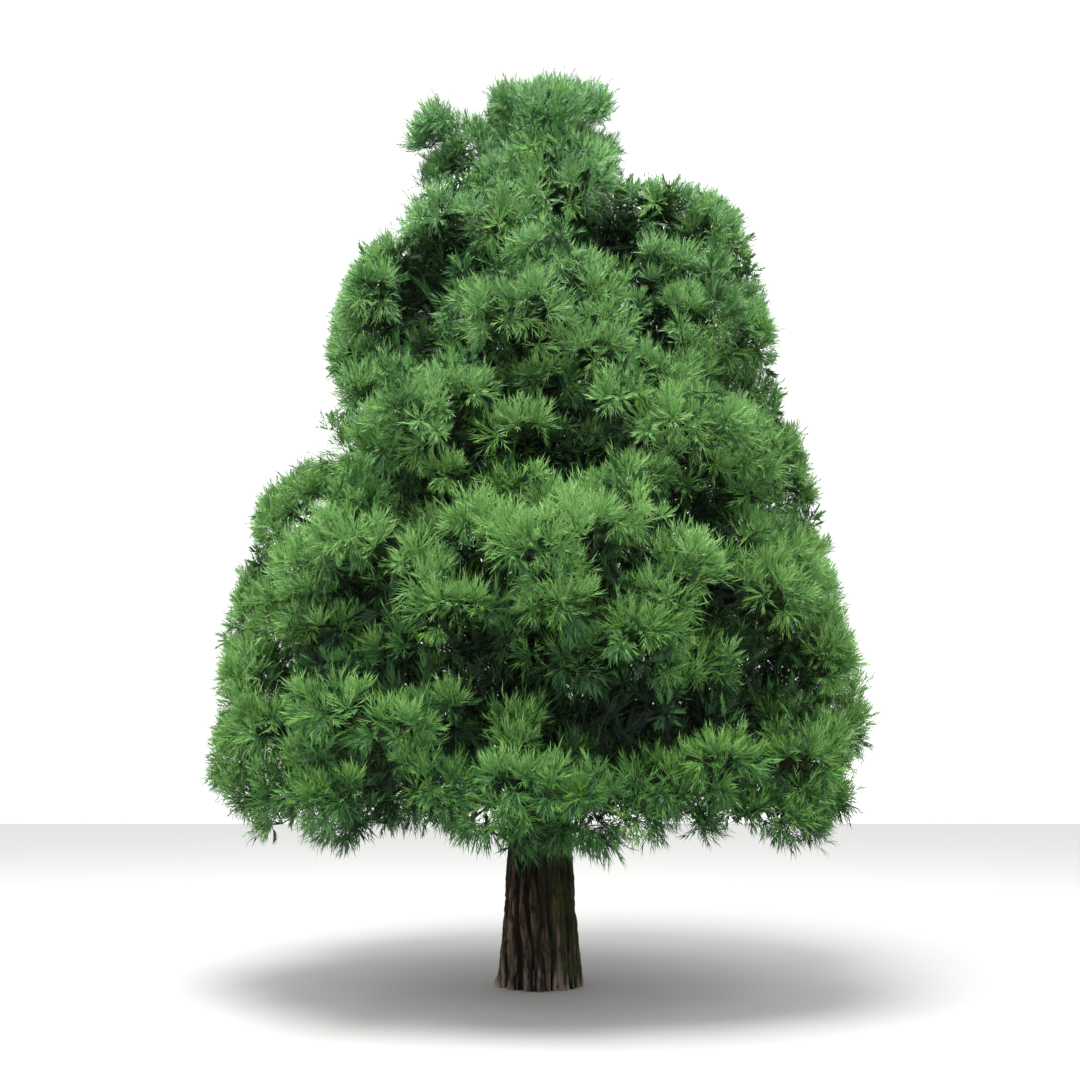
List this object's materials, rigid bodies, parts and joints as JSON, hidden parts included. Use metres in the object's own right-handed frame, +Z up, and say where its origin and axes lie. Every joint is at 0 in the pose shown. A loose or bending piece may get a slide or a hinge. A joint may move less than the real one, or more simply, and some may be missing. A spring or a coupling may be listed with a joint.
{
  "type": "giant sequoia tree",
  "caption": "Young open-grown giant sequoia: short bare flared trunk under a broad cone of billowing evergreen foliage that spreads low into a drooping skirt.",
  "frame": {"origin": "centre of the flat cut under the trunk, at ground level", "axes": "+Z up the trunk to the leader; -Y faces the viewer of the picture; +X is the viewer's right"},
  "size_m": [6.0168, 5.8204, 9.0284],
  "materials": {
    "trunk_bark": "rough, fibrous, deeply furrowed bark",
    "bough_bark": "rough bark",
    "foliage": "matte evergreen scale leaves"
  },
  "bodies": {
    "root": {"trunk": "trunk_bark", "bough_crown_left": "bough_bark", "bough_high_left": "bough_bark", "bough_high_right": "bough_bark", "bough_lower_back": "bough_bark", "bough_lower_back_left": "bough_bark", "bough_lower_back_right": "bough_bark", "bough_lower_front": "bough_bark", "bough_lower_front_left": "bough_bark", "bough_lower_left": "bough_bark", "bough_lower_right": "bough_bark", "bough_middle_back": "bough_bark", "bough_middle_front_left": "bough_bark", "bough_middle_front_right": "bough_bark", "bough_middle_left": "bough_bark", "bough_middle_right": "bough_bark", "bough_skirt_back": "bough_bark", "bough_skirt_back_left": "bough_bark", "bough_skirt_back_right": "bough_bark", "bough_skirt_front": "bough_bark", "bough_skirt_front_left": "bough_bark", "bough_skirt_front_right": "bough_bark", "bough_skirt_left": "bough_bark", "bough_skirt_right": "bough_bark", "bough_upper_back_left": "bough_bark", "bough_upper_back_right": "bough_bark", "bough_upper_front": "bough_bark", "bough_upper_left": "bough_bark", "bough_upper_right": "bough_bark", "foliage_crown_leader": "foliage", "foliage_crown_left": "foliage", "foliage_high_back": "foliage", "foliage_high_front": "foliage", "foliage_high_left": "foliage", "foliage_high_right": "foliage", "foliage_lower_back": "foliage", "foliage_lower_back_left": "foliage", "foliage_lower_back_right": "foliage", "foliage_lower_front": "foliage", "foliage_lower_front_left": "foliage", "foliage_lower_left": "foliage", "foliage_lower_right": "foliage", "foliage_middle_back": "foliage", "foliage_middle_front_left": "foliage", "foliage_middle_front_right": "foliage", "foliage_middle_left": "foliage", "foliage_middle_right": "foliage", "foliage_skirt_back": "foliage", "foliage_skirt_back_left": "foliage", "foliage_skirt_back_right": "foliage", "foliage_skirt_front": "foliage", "foliage_skirt_front_left": "foliage", "foliage_skirt_front_right": "foliage", "foliage_skirt_left": "foliage", "foliage_skirt_right": "foliage", "foliage_upper_back_left": "foliage", "foliage_upper_back_right": "foliage", "foliage_upper_front": "foliage", "foliage_upper_left": "foliage", "foliage_upper_right": "foliage"}
  },
  "joints": []
}
